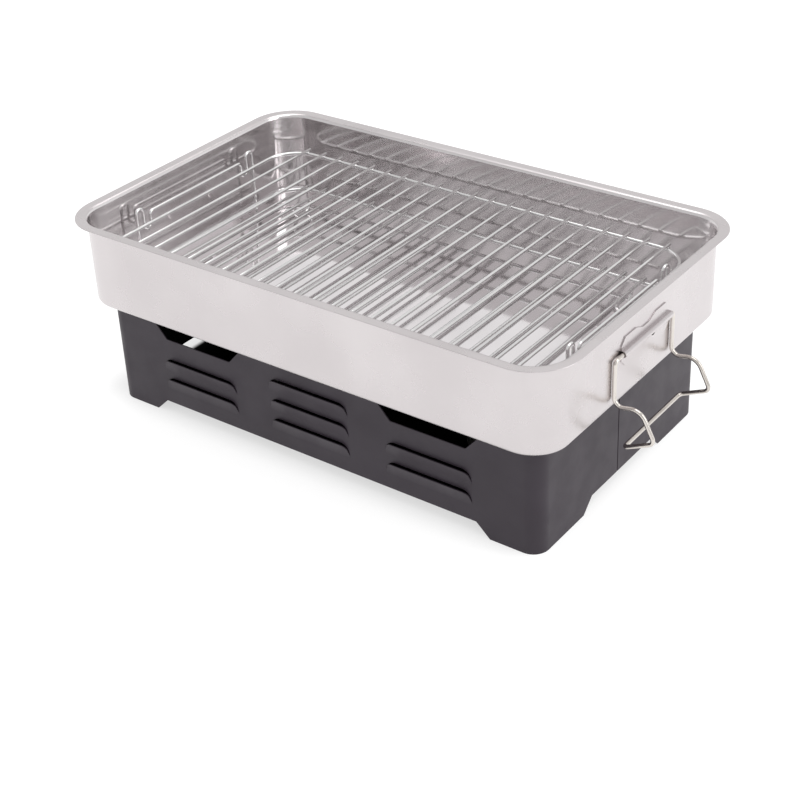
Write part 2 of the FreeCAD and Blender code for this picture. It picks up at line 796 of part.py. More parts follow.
def make_all():
    pieces = [
        make_stand_shell("stand_front_shell", False),
        make_stand_shell("stand_rear_shell", True),
        make_pan(),
        make_bracket("bail_bracket_right", False),
        make_bracket("bail_bracket_left", True),
        make_bail("bail_right", False),
        make_bail("bail_left", True),
    ]
    for grate, length in GRATE_LENGTHS.items():
        width, level = GRATE_WIDTHS[grate], size(f"{grate}_bar_level")
        pieces.append(make_frame(f"{grate}_grate_frame", length, width, level))
        pieces.append(make_bars(f"{grate}_grate_bars", width, level))
    pieces.append(make_lower_feet())
    pieces.append(make_end_stand("upper_end_stand_right", False))
    pieces.append(make_end_stand("upper_end_stand_left", True))
    for side_name, side in (("left", -1), ("right", 1)):
        pieces += make_burner(side_name, side)
    return pieces


def check_document():
    """Stops the build when any object failed."""
    for item in DOCUMENT.Objects:
        if "Invalid" in item.State or "Error" in item.State:
            raise ValueError(f"{item.Name} failed: {item.State}")


def write_pieces(pieces):
    os.makedirs("parts", exist_ok=True)
    for piece in pieces:
        shape = piece.Shape
        if shape.isNull() or not shape.isValid():
            raise ValueError(f"{piece.Label} has no valid shape")
        box = shape.BoundBox
        print(piece.Label, "solids", len(shape.Solids), "volume", round(shape.Volume, 1),
              "x", round(box.XMin, 2), round(box.XMax, 2),
              "y", round(box.YMin, 2), round(box.YMax, 2),
              "z", round(box.ZMin, 2), round(box.ZMax, 2))
        shape.exportStep(f"parts/{piece.Label}.step")


PIECES = make_all()
DOCUMENT.recompute()
check_document()
write_pieces(PIECES)
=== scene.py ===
import json
import math
import random

import bmesh
import bpy
from mathutils import Matrix, Vector, noise


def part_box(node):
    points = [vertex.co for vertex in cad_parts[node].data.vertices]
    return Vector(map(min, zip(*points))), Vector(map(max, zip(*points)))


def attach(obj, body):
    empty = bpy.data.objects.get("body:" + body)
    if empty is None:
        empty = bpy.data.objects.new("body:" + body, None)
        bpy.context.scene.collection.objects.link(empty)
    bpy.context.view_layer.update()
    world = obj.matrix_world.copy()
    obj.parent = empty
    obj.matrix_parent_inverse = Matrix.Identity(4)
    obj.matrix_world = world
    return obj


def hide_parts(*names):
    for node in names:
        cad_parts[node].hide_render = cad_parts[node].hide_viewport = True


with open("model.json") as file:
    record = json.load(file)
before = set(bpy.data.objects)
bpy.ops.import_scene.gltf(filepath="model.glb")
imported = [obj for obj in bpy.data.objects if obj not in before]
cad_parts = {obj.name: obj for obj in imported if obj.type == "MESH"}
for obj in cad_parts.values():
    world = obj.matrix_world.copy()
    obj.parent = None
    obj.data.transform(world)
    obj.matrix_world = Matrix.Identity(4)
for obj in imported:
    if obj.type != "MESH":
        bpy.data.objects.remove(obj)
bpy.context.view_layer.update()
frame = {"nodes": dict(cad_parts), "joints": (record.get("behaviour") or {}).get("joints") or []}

# Table-top fish smoker. All lengths are in metres, written as millimetres times MM.

MM = 0.001
SCENE = bpy.context.scene
random.seed(7)

# Sizes that the frame gives

PAN_LOW, PAN_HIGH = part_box("pan_shell")
STAND_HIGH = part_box("stand_front_shell")[1].z
STAND_HALF_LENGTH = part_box("stand_front_shell")[1].x
BRACKET_LOW, BRACKET_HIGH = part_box("bail_bracket_right")
WALL_X = BRACKET_LOW.x
PIVOT_Z = (BRACKET_LOW.z + BRACKET_HIGH.z) / 2

# Sizes that the part's sheet gives

RIM_LIP = 8.5 * MM
RIM_CORNER = 34.8 * MM
RIM_BEND = 3.2 * MM
PAN_SHEET = 0.7 * MM
PAN_FLOOR_ROUND = 4.2 * MM
STAND_HALF_WIDTH = 108.2 * MM
STAND_CORNER = 12.2 * MM
STAND_SHEET = 1.0 * MM
LAP_HALF = 6.7 * MM
SEAM_GAP = 0.9 * MM
FOOT_HEIGHT = 10.3 * MM
FRONT_ARCH_HALF = 139.7 * MM
END_ARCH_HALF = 41.0 * MM
FOOT_SLANT_RUN = 10.8 * MM
NOTCH_CENTRE = 101.7 * MM
NOTCH_HALF = 30.4 * MM
NOTCH_DEPTH = 18.6 * MM
NOTCH_SLANT_RUN = 16.7 * MM
LOUVRE_HALF = 35.0 * MM
LOUVRE_HEIGHT = 10.0 * MM
LOUVRE_CORNER = 8.0 * MM
LOUVRE_RISE = 3.0 * MM
LOUVRE_TOP_DROP = 0.3 * MM
LOUVRE_FIRST_FOOT = 22.6 * MM
LOUVRE_PITCH = 16.3 * MM
LOUVRE_CENTRE = 101.7 * MM
BAIL_RADIUS = 1.5 * MM
BRACKET_HALF = 32.0 * MM
CHANNEL_AXIS = 1.9 * MM
CHANNEL_BORE = 1.6 * MM
FRAME_RADIUS = 1.6 * MM
BAR_RADIUS = 1.25 * MM
BAR_PITCH = 16.5 * MM
BAR_COUNT = 21
FRAME_ROUND = 27.0 * MM
GRATE_SHIFT = -5.0 * MM
FLOOR_Z = STAND_HIGH + PAN_SHEET


# Paths and tubes


def rounded_path(corners, closed=False, step=math.radians(9)):
    """Points along straight runs joined by arcs, from (point, radius) pairs."""
    points = []
    count = len(corners)
    for i, (corner, radius) in enumerate(corners):
        corner = Vector(corner)
        if radius == 0 or (not closed and i in (0, count - 1)):
            points.append(corner)
            continue
        back = (Vector(corners[i - 1][0]) - corner).normalized()
        ahead = (Vector(corners[(i + 1) % count][0]) - corner).normalized()
        half = back.angle(ahead) / 2
        turn = math.pi - 2 * half
        centre = corner + (back + ahead).normalized() * (radius / math.sin(half))
        start = corner + back * (radius / math.tan(half)) - centre
        axis = start.cross(-back).normalized()
        steps = max(2, math.ceil(turn / step))
        for k in range(steps + 1):
            points.append(centre + Matrix.Rotation(turn * k / steps, 3, axis) @ start)
    return points


DOME = [(0.35, 0.94), (0.7, 0.72), (0.95, 0.3)]
DOME_LENGTH = 0.6


def tube_stations(points, radius, closed, round_ends):
    """(place, heading, side, share of the radius) along a tube; an open end is domed."""
    count = len(points)
    heading = []
    for i in range(count):
        before = points[i - 1] if closed or i > 0 else points[i]
        after = points[(i + 1) % count] if closed or i < count - 1 else points[i]
        heading.append((after - before).normalized())
    side = heading[0].orthogonal().normalized()
    stations = []
    for i in range(count):
        side = (side - heading[i] * side.dot(heading[i])).normalized()
        stations.append((points[i], heading[i], side.copy(), 1.0))
    if round_ends and not closed:
        first, last = stations[0], stations[-1]
        front = [(first[0] - first[1] * radius * a * DOME_LENGTH + first[1] * radius * DOME_LENGTH,
                  first[1], first[2], b) for a, b in reversed(DOME)]
        back = [(last[0] + last[1] * radius * a * DOME_LENGTH - last[1] * radius * DOME_LENGTH,
                 last[1], last[2], b) for a, b in DOME]
        stations[0] = (first[0] + first[1] * radius * DOME_LENGTH, first[1], first[2], 1.0)
        stations[-1] = (last[0] - last[1] * radius * DOME_LENGTH, last[1], last[2], 1.0)
        stations = front + stations + back
    return stations


def tube_mesh(bm, points, radius, sides=16, closed=False, round_ends=True):
    """Adds a round tube along the points."""
    rings = []
    for place, along, across, share in tube_stations(points, radius, closed, round_ends):
        up = along.cross(across)
        ring = []
        for k in range(sides):
            angle = 2 * math.pi * k / sides
            offset = (across * math.cos(angle) + up * math.sin(angle)) * radius * share
            ring.append(bm.verts.new(place + offset))
        rings.append(ring)
    pairs = list(zip(rings, rings[1:]))
    if closed:
        pairs.append((rings[-1], rings[0]))
    for one, two in pairs:
        for k in range(sides):
            j = (k + 1) % sides
            bm.faces.new((one[k], one[j], two[j], two[k]))
    if not closed:
        bm.faces.new(list(reversed(rings[0])))
        bm.faces.new(rings[-1])


BEAD_SWELL = 0.12
BEAD_SPREAD = 900


def bead(bm, place, reach):
    """A weld bead: a small uneven blob about a crossing."""
    made = bmesh.ops.create_icosphere(bm, subdivisions=2, radius=1.0)
    for vert in made["verts"]:
        swell = 1 + BEAD_SWELL * noise.noise(vert.co * 2 + place * BEAD_SPREAD)
        vert.co = place + Vector(vert.co[i] * reach[i] * swell for i in range(3))


def finish_piece(name, bm, body, slot, material, *nodes, smooth_angle=40):
    """Turns a bmesh into a named piece that rides on a body and stands for some nodes."""
    bmesh.ops.recalc_face_normals(bm, faces=bm.faces)
    mesh = bpy.data.meshes.new(name)
    bm.to_mesh(mesh)
    bm.free()
    mesh.shade_smooth()
    mesh.set_sharp_from_angle(angle=math.radians(smooth_angle))
    piece = bpy.data.objects.new(name, mesh)
    SCENE.collection.objects.link(piece)
    for item in material if isinstance(material, (list, tuple)) else [material]:
        mesh.materials.append(item)
    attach(piece, body)
    if nodes:
        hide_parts(*nodes)
    return piece


# Materials


def new_material(name):
    material = bpy.data.materials.new(name)
    material.use_nodes = True
    tree = material.node_tree
    shader = tree.nodes["Principled BSDF"]
    return material, tree, shader


def texture_noise(tree, scale, detail=3.0, stretch=(1, 1, 1)):
    """Noise in object space, stretched along an axis."""
    coordinates = tree.nodes.new("ShaderNodeTexCoord")
    mapping = tree.nodes.new("ShaderNodeMapping")
    mapping.inputs["Scale"].default_value = stretch
    tree.links.new(coordinates.outputs["Object"], mapping.inputs["Vector"])
    node = tree.nodes.new("ShaderNodeTexNoise")
    node.inputs["Scale"].default_value = scale
    node.inputs["Detail"].default_value = detail
    tree.links.new(mapping.outputs["Vector"], node.inputs["Vector"])
    return node.outputs["Fac"]


def ramp(tree, value, low, high):
    """The middle half of a noise value, spread softly from low to high."""
    return spread(tree, value, 0.25, 0.75, low, high)


def arithmetic(tree, operation, first, second=0.0):
    """A Math node; first is an output, second an output or a number."""
    node = tree.nodes.new("ShaderNodeMath")
    node.operation = operation
    tree.links.new(first, node.inputs[0])
    if isinstance(second, (int, float)):
        node.inputs[1].default_value = second
    else:
        tree.links.new(second, node.inputs[1])
    return node.outputs["Value"]


def outside_rectangle(tree, half, radius, middle=(0, 0, 0)):
    """How far a point lies outside a block of these half sizes with its edges rounded."""
    coordinates = tree.nodes.new("ShaderNodeTexCoord")
    vector = coordinates.outputs["Object"]
    for operation, amount in (("SUBTRACT", middle), ("ABSOLUTE", None),
                              ("SUBTRACT", [h - radius for h in half]), ("MAXIMUM", (0, 0, 0))):
        node = tree.nodes.new("ShaderNodeVectorMath")
        node.operation = operation
        tree.links.new(vector, node.inputs[0])
        if amount is not None:
            node.inputs[1].default_value = amount
        vector = node.outputs["Vector"]
    length = tree.nodes.new("ShaderNodeVectorMath")
    length.operation = "LENGTH"
    tree.links.new(vector, length.inputs[0])
    return arithmetic(tree, "SUBTRACT", length.outputs["Value"], radius)


def separate_x(tree):
    """The x of a point in object space."""
    coordinates = tree.nodes.new("ShaderNodeTexCoord")
    node = tree.nodes.new("ShaderNodeSeparateXYZ")
    tree.links.new(coordinates.outputs["Object"], node.inputs["Vector"])
    return node.outputs["X"]


def spread(tree, value, start, end, low, high):
    """Low up to start, high from end on, with a soft change between them."""
    node = tree.nodes.new("ShaderNodeMapRange")
    node.interpolation_type = "SMOOTHSTEP"
    for socket, number in (("From Min", start), ("From Max", end), ("To Min", low),
                           ("To Max", high)):
        node.inputs[socket].default_value = number
    tree.links.new(value, node.inputs["Value"])
    return node.outputs["Result"]


def blend_colours(tree, value, first, second):
    """From the first colour to the second as a noise value rises."""
    node = tree.nodes.new("ShaderNodeMix")
    node.data_type = "RGBA"
    node.inputs["A"].default_value = (*first, 1)
    node.inputs["B"].default_value = (*second, 1)
    tree.links.new(ramp(tree, value, 0, 1), node.inputs["Factor"])
    return node.outputs["Result"]


NEARLY_BLACK = (0.01, 0.01, 0.01, 1)


def darken(tree, shader, share):
    """Blends the base colour with near black: black where the share is 0, unchanged at 1."""
    colour = shader.inputs["Base Color"].links[0].from_socket
    node = tree.nodes.new("ShaderNodeMix")
    node.data_type = "RGBA"
    node.inputs["A"].default_value = NEARLY_BLACK
    tree.links.new(colour, node.inputs["B"])
    tree.links.new(share, node.inputs["Factor"])
    tree.links.new(node.outputs["Result"], shader.inputs["Base Color"])


def bump(tree, shader, heights):
    """Bumps laid one on the other, from (height output, depth in metres) pairs."""
    last = None
    for height, depth in heights:
        node = tree.nodes.new("ShaderNodeBump")
        node.inputs["Strength"].default_value = 1.0
        node.inputs["Distance"].default_value = depth
        tree.links.new(height, node.inputs["Height"])
        if last is not None:
            tree.links.new(last, node.inputs["Normal"])
        last = node.outputs["Normal"]
    tree.links.new(last, shader.inputs["Normal"])


def steel(name, light, dark, rough_low, rough_high, streaks=(1, 1, 1), grain_depth=0.0,
          wave_depth=0.0):
    """Bare stainless steel: streaks or patches of duller metal, fine grain and slow waves."""
    material, tree, shader = new_material(name)
    patches = texture_noise(tree, 14, 4)
    shader.inputs["Metallic"].default_value = 1.0
    tree.links.new(blend_colours(tree, patches, light, dark), shader.inputs["Base Color"])
    rough = texture_noise(tree, 30, 5, streaks)
    tree.links.new(ramp(tree, rough, rough_low, rough_high), shader.inputs["Roughness"])
    heights = []
    if grain_depth:
        heights.append((texture_noise(tree, 400, 2), grain_depth * MM))
    if wave_depth:
        heights.append((texture_noise(tree, 9, 1), wave_depth * MM))
    if heights:
        bump(tree, shader, heights)
    return material


BEHIND_INSET = 1.7 * MM
BEHIND_HALF_HEIGHT = 6.5 * MM
BEHIND_ROUND = 1.0 * MM
BEHIND_EDGE = 0.5 * MM
WALL_TOLERANCE = 0.2 * MM


def darken_behind_brackets(material):
    """A painted dark patch on each end wall, behind its bracket, in place of real shadow."""
    tree = material.node_tree
    shader = tree.nodes["Principled BSDF"]
    half = (WALL_X * 2, BRACKET_HALF - BEHIND_INSET, BEHIND_HALF_HEIGHT)
    near = outside_rectangle(tree, half, BEHIND_ROUND, (0, 0, PIVOT_Z))
    end = arithmetic(tree, "ABSOLUTE", separate_x(tree))
    off_end = arithmetic(tree, "LESS_THAN", end, WALL_X - WALL_TOLERANCE)
    clear = spread(tree, near, 0.0, BEHIND_EDGE, 0.0, 1.0)
    darken(tree, shader, arithmetic(tree, "MAXIMUM", clear, off_end))


CHANNEL_EDGE = (0.1 * MM, 0.3 * MM)


def darken_in_channel(material):
    """The inside of a bracket's channel is darkened as painted shade; its bore is as wide as the
    bail.
    """
    tree = material.node_tree
    shader = tree.nodes["Principled BSDF"]
    half = (WALL_X + CHANNEL_AXIS + CHANNEL_BORE, BRACKET_HALF * 2, CHANNEL_BORE)
    near = outside_rectangle(tree, half, CHANNEL_BORE, (0, 0, PIVOT_Z))
    darken(tree, shader, spread(tree, near, *CHANNEL_EDGE, 0.0, 1.0))


def paint(name, light, dark, rough_low, rough_high, gloss):
    """Charcoal powder coat, with a faint orange peel."""
    material, tree, shader = new_material(name)
    patches = texture_noise(tree, 22, 4)
    tree.links.new(blend_colours(tree, patches, light, dark), shader.inputs["Base Color"])
    rough = texture_noise(tree, 60, 4)
    tree.links.new(ramp(tree, rough, rough_low, rough_high), shader.inputs["Roughness"])
    shader.inputs["Specular IOR Level"].default_value = gloss
    bump(tree, shader, [(texture_noise(tree, 700, 2), 0.02 * MM),
                        (texture_noise(tree, 2600, 2), 0.006 * MM)])
    return material


def wool_material():
    """Off-white mineral wool, matted and fibrous."""
    material, tree, shader = new_material("mineral_wool")
    fibres = texture_noise(tree, 260, 6, (1, 5, 1))
    tree.links.new(blend_colours(tree, fibres, (0.60, 0.58, 0.53), (0.80, 0.78, 0.73)),
                   shader.inputs["Base Color"])
    shader.inputs["Roughness"].default_value = 0.95
    bump(tree, shader, [(fibres, 0.6 * MM), (texture_noise(tree, 900, 3, (4, 1, 1)), 0.2 * MM)])
    return material


def brass_material():
    """Dull brass wire, darker in patches where it has been hot."""
    material, tree, shader = new_material("gauze_wire")
    patches = texture_noise(tree, 60, 4)
    tree.links.new(blend_colours(tree, patches, (0.62, 0.48, 0.25), (0.38, 0.27, 0.15)),
                   shader.inputs["Base Color"])
    shader.inputs["Metallic"].default_value = 1.0
    rough = texture_noise(tree, 400, 3)
    tree.links.new(ramp(tree, rough, 0.3, 0.55), shader.inputs["Roughness"])
    bump(tree, shader, [(texture_noise(tree, 3000, 2), 0.01 * MM)])
    return material


SATIN = ((0.64, 0.605, 0.61), (0.59, 0.555, 0.56), 0.24, 0.32)
PAN_OUTSIDE = steel("pan_satin", *SATIN)
darken_behind_brackets(PAN_OUTSIDE)
BRACKET = steel("bracket_satin", *SATIN)
darken_in_channel(BRACKET)
PAN_WALL = steel("pan_drawn_wall", (0.80, 0.77, 0.775), (0.72, 0.69, 0.695), 0.10, 0.18,
                 streaks=(2, 2, 0.2), wave_depth=0.15)
PAN_FLOOR = steel("pan_bright_floor", (0.84, 0.81, 0.82), (0.78, 0.75, 0.76), 0.04, 0.08,
                  wave_depth=0.03)
WIRE = steel("chrome_wire", (0.80, 0.79, 0.79), (0.70, 0.69, 0.69), 0.08, 0.16,
             grain_depth=0.004)
BAIL = steel("bail_wire", (0.72, 0.68, 0.64), (0.58, 0.54, 0.50), 0.16, 0.26,
             grain_depth=0.004)
CUP = steel("cup_steel", (0.62, 0.61, 0.60), (0.50, 0.49, 0.48), 0.25, 0.38,
            grain_depth=0.004)
PAINT = paint("charcoal_paint", (0.028, 0.0205, 0.029), (0.034, 0.0255, 0.0355),
              0.42, 0.52, 0.36)
# Near-black paint for the stand's inner faces: painted shade for its dark inside, darker than the
# coat's own colour.
INSIDE_SHADE_PAINT = paint("inside_painted_shade", (0.003, 0.003, 0.003), (0.005, 0.005, 0.005),
                     0.85, 0.95, 0.1)
WOOL = wool_material()
GAUZE = brass_material()


# Pan: one profile carried round a rounded rectangle

RIM_EDGE = 0.2 * MM
RIM_FLAT_SHARE = 0.4
WALL_SHARES = (0.3, 0.55)


def pan_ring(inset, z, corner_steps=14, side_steps=24):
    """The points of a rounded rectangle that lies inset from the rim's edge."""
    half_x, half_y = PAN_HIGH.x - inset, PAN_HIGH.y - inset
    radius = RIM_CORNER - inset
    points = []
    centres = [(half_x - radius, half_y - radius, 0), (radius - half_x, half_y - radius, 90),
               (radius - half_x, radius - half_y, 180), (half_x - radius, radius - half_y, 270)]
    for i, (cx, cy, start) in enumerate(centres):
        for k in range(corner_steps + 1):
            angle = math.radians(start + 90 * k / corner_steps)
            points.append(Vector((cx + radius * math.cos(angle),
                                  cy + radius * math.sin(angle), z)))
        nx, ny, nstart = centres[(i + 1) % 4]
        angle = math.radians(nstart)
        target = Vector((nx + radius * math.cos(angle), ny + radius * math.sin(angle), z))
        last = points[-1].copy()
        for k in range(1, side_steps):
            points.append(last.lerp(target, k / side_steps))
    return points


def arc_profile(centre, radius, start, end, steps):
    """(inset, z) pairs on an arc, angles in degrees, from the inset axis towards z."""
    made = []
    for k in range(steps + 1):
        angle = math.radians(start + (end - start) * k / steps)
        made.append((centre[0] + radius * math.cos(angle), centre[1] + radius * math.sin(angle)))
    return made


def pan_profile():
    """The sheet's section: rim edge, over the top, down the inside, and back up the outside."""
    top, bottom = PAN_HIGH.z, PAN_LOW.z
    wall_in = RIM_LIP + PAN_SHEET
    inside = [(0.0, top - PAN_SHEET / 2), (0.0, top - RIM_EDGE), (RIM_EDGE, top)]
    inside += [(RIM_LIP * RIM_FLAT_SHARE, top)]
    inside += arc_profile((wall_in - RIM_BEND, top - RIM_BEND), RIM_BEND, 90, 0, 8)
    inside += [(wall_in, top + (bottom - top) * share) for share in WALL_SHARES]
    floor_bend = PAN_FLOOR_ROUND - PAN_SHEET
    inside += arc_profile((wall_in + floor_bend, bottom + PAN_SHEET + floor_bend),
                          floor_bend, 180, 270, 10)
    outside = [(0.0, top - PAN_SHEET + RIM_EDGE), (RIM_EDGE, top - PAN_SHEET)]
    throat = RIM_BEND - PAN_SHEET
    outside += arc_profile((RIM_LIP - throat, top - PAN_SHEET - throat), throat, 90, 0, 6)
    outside += [(RIM_LIP, top + (bottom - top) * share) for share in WALL_SHARES]
    outside += arc_profile((RIM_LIP + PAN_FLOOR_ROUND, bottom + PAN_FLOOR_ROUND),
                           PAN_FLOOR_ROUND, 180, 270, 10)
    return inside, outside


def pan_finish(inset, z):
    """Which material the inside has: 0 satin on the rim, 1 drawn walls, 2 bright floor."""
    if inset < RIM_LIP:
        return 0
    return 1 if z > PAN_LOW.z + PAN_SHEET + PAN_FLOOR_ROUND / 2 else 2


def add_rings(bm, profile, first=None, inside=False):
    """Skins the profile, fills the last ring, and returns its first ring."""
    ring = first or [bm.verts.new(p) for p in pan_ring(*profile[0])]
    start = ring
    for inset, z in profile[1:] if first is None else profile:
        following = [bm.verts.new(p) for p in pan_ring(inset, z)]
        for k in range(len(ring)):
            j = (k + 1) % len(ring)
            face = bm.faces.new((ring[k], ring[j], following[j], following[k]))
            face.material_index = pan_finish(inset, z) if inside else 0
        ring = following
    bm.faces.new(ring).material_index = 2 if inside else 0
    return start


WELD_SIDE = 23.0 * MM
WELD_LEVEL = 114.0 * MM
WELD_RADIUS = 2.8 * MM
WELD_RISE = 0.35 * MM


def add_weld_spot(bm, place):
    """A shallow dimple that a spot weld left on the inside of an end wall."""
    made = bmesh.ops.create_uvsphere(bm, u_segments=20, v_segments=10, radius=WELD_RADIUS)
    for vert in made["verts"]:
        vert.co.x *= WELD_RISE / WELD_RADIUS
        vert.co += place
    for face in {face for vert in made["verts"] for face in vert.link_faces}:
        face.material_index = 1


def make_pan():
    bm = bmesh.new()
    inside, outside = pan_profile()
    start = add_rings(bm, inside, inside=True)
    add_rings(bm, outside, first=start)
    for end in (-1, 1):
        for side in (-1, 1):
            place = Vector((end * (WALL_X - PAN_SHEET), side * WELD_SIDE, WELD_LEVEL))
            add_weld_spot(bm, place)
    finish_piece("pan", bm, "pan", "pan_steel", [PAN_OUTSIDE, PAN_WALL, PAN_FLOOR], "pan_shell")


# Stand: each shell is a flat blank with its cut-outs, wrapped round the plan


def curve_outline(curve, points):
    """Adds a closed outline to a flat curve."""
    spline = curve.splines.new("POLY")
    spline.points.add(len(points) - 1)
    for point, place in zip(spline.points, points):
        point.co = (place[0], place[1], 0, 1)
    spline.use_cyclic_u = True


def flat_corners(corners):
    """Flat points from (x, y, radius) corners."""
    return [(p.x, p.y) for p in rounded_path(
        [(Vector((x, y, 0)), r) for x, y, r in corners], closed=True)]


SHEET_EDGE = 0.12 * MM
CORNER_CUTS = 12
LAP_MARGIN = 5 * MM
SHELL_STRAIGHT = STAND_HALF_LENGTH - STAND_CORNER
CORNER_RUN = math.pi / 2 * (STAND_CORNER - STAND_SHEET / 2)
END_RUN = STAND_HALF_WIDTH - STAND_CORNER


def end_to_run(y, side):
    """Where a place y on the end wall lies along the blank, measured from its middle."""
    return side * (SHELL_STRAIGHT + CORNER_RUN + (y + END_RUN))


def shell_blank():
    """The outline of one shell's outer sheet laid flat: run along the wall, height."""
    seam = -LAP_HALF - SEAM_GAP
    low_left, high_right = end_to_run(LAP_HALF, -1), end_to_run(seam, 1)
    arch_left, arch_right = end_to_run(-END_ARCH_HALF, -1), end_to_run(-END_ARCH_HALF, 1)
    top, foot = STAND_HIGH, FOOT_HEIGHT
    outline = [(low_left, foot, 0), (arch_left, foot, 0), (arch_left + FOOT_SLANT_RUN, 0, 0),
               (-FRONT_ARCH_HALF - FOOT_SLANT_RUN, 0, 0), (-FRONT_ARCH_HALF, foot, 0),
               (FRONT_ARCH_HALF, foot, 0), (FRONT_ARCH_HALF + FOOT_SLANT_RUN, 0, 0),
               (arch_right - FOOT_SLANT_RUN, 0, 0), (arch_right, foot, 0),
               (high_right, foot, 0), (high_right, top, 0)]
    for side in (1, -1):
        centre = side * NOTCH_CENTRE
        for share, level in ((1, 0), (0, 1)):
            outline.append((centre + NOTCH_HALF + share * NOTCH_SLANT_RUN,
                            top - level * NOTCH_DEPTH, 0))
        for share, level in ((0, 1), (1, 0)):
            outline.append((centre - NOTCH_HALF - share * NOTCH_SLANT_RUN,
                            top - level * NOTCH_DEPTH, 0))
    outline.append((low_left, top, 0))
    return outline


def louvre_places():
    """(centre, foot level) of each louvre: three in the middle, two at each side."""
    for row in range(3):
        foot = LOUVRE_FIRST_FOOT + row * LOUVRE_PITCH
        for centre in (0.0,) if row == 2 else (-LOUVRE_CENTRE, 0.0, LOUVRE_CENTRE):
            yield centre, foot


def wrap(run, depth, z):
    """A point of the blank on the stand: run along the wall, depth in from its outside."""
    side = 1 if run > 0 else -1
    run = abs(run)
    if run <= SHELL_STRAIGHT:
        return Vector((side * run, -STAND_HALF_WIDTH + depth, z))
    bend = run - SHELL_STRAIGHT
    if bend <= CORNER_RUN:
        angle = bend / CORNER_RUN * math.pi / 2
        reach = STAND_CORNER - depth
        return Vector((side * (SHELL_STRAIGHT + reach * math.sin(angle)),
                       -END_RUN - reach * math.cos(angle), z))
    return Vector((side * (STAND_HALF_LENGTH - depth), -END_RUN + bend - CORNER_RUN, z))


def add_blank(bm):
    """The wrapped outer sheet with its windows."""
    curve = bpy.data.curves.new("blank", "CURVE")
    curve.dimensions = "2D"
    curve.fill_mode = "BOTH"
    curve.extrude = STAND_SHEET / 2 - SHEET_EDGE
    curve.bevel_depth = SHEET_EDGE
    curve.bevel_resolution = 1
    curve.offset = -SHEET_EDGE
    curve_outline(curve, flat_corners(shell_blank()))
    for centre, foot in louvre_places():
        top = foot + LOUVRE_HEIGHT
        curve_outline(curve, flat_corners([
            (centre - LOUVRE_HALF, foot, 0), (centre + LOUVRE_HALF, foot, 0),
            (centre + LOUVRE_HALF, top, LOUVRE_CORNER),
            (centre - LOUVRE_HALF, top, LOUVRE_CORNER)]))
    holder = bpy.data.objects.new("blank", curve)
    flat = bpy.data.meshes.new_from_object(holder)
    bm.from_mesh(flat)
    bpy.data.objects.remove(holder)
    bpy.data.curves.remove(curve)
    bpy.data.meshes.remove(flat)
    for side in (-1, 1):
        for k in range(CORNER_CUTS + 1):
            place = side * (SHELL_STRAIGHT + CORNER_RUN * k / CORNER_CUTS)
            bmesh.ops.bisect_plane(bm, geom=bm.verts[:] + bm.edges[:] + bm.faces[:],
                                   plane_co=(place, 0, 0), plane_no=(1, 0, 0))
    # Inner faces take material 1, the near-black painted shade.
    for face in bm.faces:
        face.material_index = 1 if face.calc_center_median().z < -STAND_SHEET / 4 else 0
    for vert in bm.verts:
        run, z, out = vert.co
        vert.co = wrap(run, STAND_SHEET / 2 - out, z)


def add_plate(bm, low, high):
    """A thin flat plate between two corners."""
    made = bmesh.ops.create_cube(bm, size=1.0)
    middle, span = (low + high) / 2, high - low
    for vert in made["verts"]:
        vert.co = middle + Vector(vert.co[i] * span[i] for i in range(3))


LOUVRE_BULGE_POWER = 1.5
LOUVRE_END_SHARE = 0.6
LOUVRE_FOOT_LAP = 0.1 * MM


def add_louvre(bm, centre, foot, columns=40, rows=10):
    """A pressed tongue: it leaves the sheet smoothly at its foot and stands out at its top."""
    grids = []
    for layer in (0.0, STAND_SHEET):
        grid = []
        for i in range(columns + 1):
            x = -LOUVRE_HALF + 2 * LOUVRE_HALF * i / columns
            inner = max(0.0, abs(x) - (LOUVRE_HALF - LOUVRE_CORNER))
            drop = LOUVRE_CORNER - math.sqrt(max(0.0, LOUVRE_CORNER ** 2 - inner ** 2))
            height = LOUVRE_HEIGHT - drop
            from_end = min(1.0, (LOUVRE_HALF - abs(x)) / LOUVRE_CORNER)
            swell = from_end * from_end * (3 - 2 * from_end)
            taper = LOUVRE_END_SHARE + (1 - LOUVRE_END_SHARE) * swell
            line = []
            for j in range(rows + 1):
                share = j / rows
                up = height * share
                bulge = (up / LOUVRE_HEIGHT) ** LOUVRE_BULGE_POWER
                out = LOUVRE_RISE * bulge * taper
                level = foot - LOUVRE_FOOT_LAP * (1 - share) + up - LOUVRE_TOP_DROP * bulge
                line.append(bm.verts.new((centre + x, -STAND_HALF_WIDTH + layer - out, level)))
            grid.append(line)
        grids.append(grid)
    outer, inner = grids
    for i in range(columns):
        for j in range(rows):
            bm.faces.new((outer[i][j], outer[i + 1][j], outer[i + 1][j + 1], outer[i][j + 1]))
            bm.faces.new((inner[i][j], inner[i][j + 1], inner[i + 1][j + 1], inner[i + 1][j]))
        bm.faces.new((outer[i][rows], outer[i + 1][rows], inner[i + 1][rows], inner[i][rows]))
        bm.faces.new((outer[i][0], inner[i][0], inner[i + 1][0], outer[i + 1][0]))
    for i in (0, columns):
        for j in range(rows):
            bm.faces.new((outer[i][j], outer[i][j + 1], inner[i][j + 1], inner[i][j]))


def make_stand_shell(name, half_turn):
    """Blank, louvres and the lap tongue at one end; the rear shell is the front's half turn."""
    bm = bmesh.new()
    add_blank(bm)
    for centre, foot in louvre_places():
        add_louvre(bm, centre, foot)
    x = STAND_HALF_LENGTH
    add_plate(bm, Vector((x - 2 * STAND_SHEET, -LAP_HALF - LAP_MARGIN, FOOT_HEIGHT)),
              Vector((x - STAND_SHEET, LAP_HALF, STAND_HIGH)))
    if half_turn:
        bmesh.ops.rotate(bm, verts=bm.verts, cent=(0, 0, 0),
                         matrix=Matrix.Rotation(math.pi, 3, "Z"))
    finish_piece(name, bm, "stand", "stand_paint", [PAINT, INSIDE_SHADE_PAINT],
                 f"{name}_shell", smooth_angle=35)


# Grates, end stands and bails


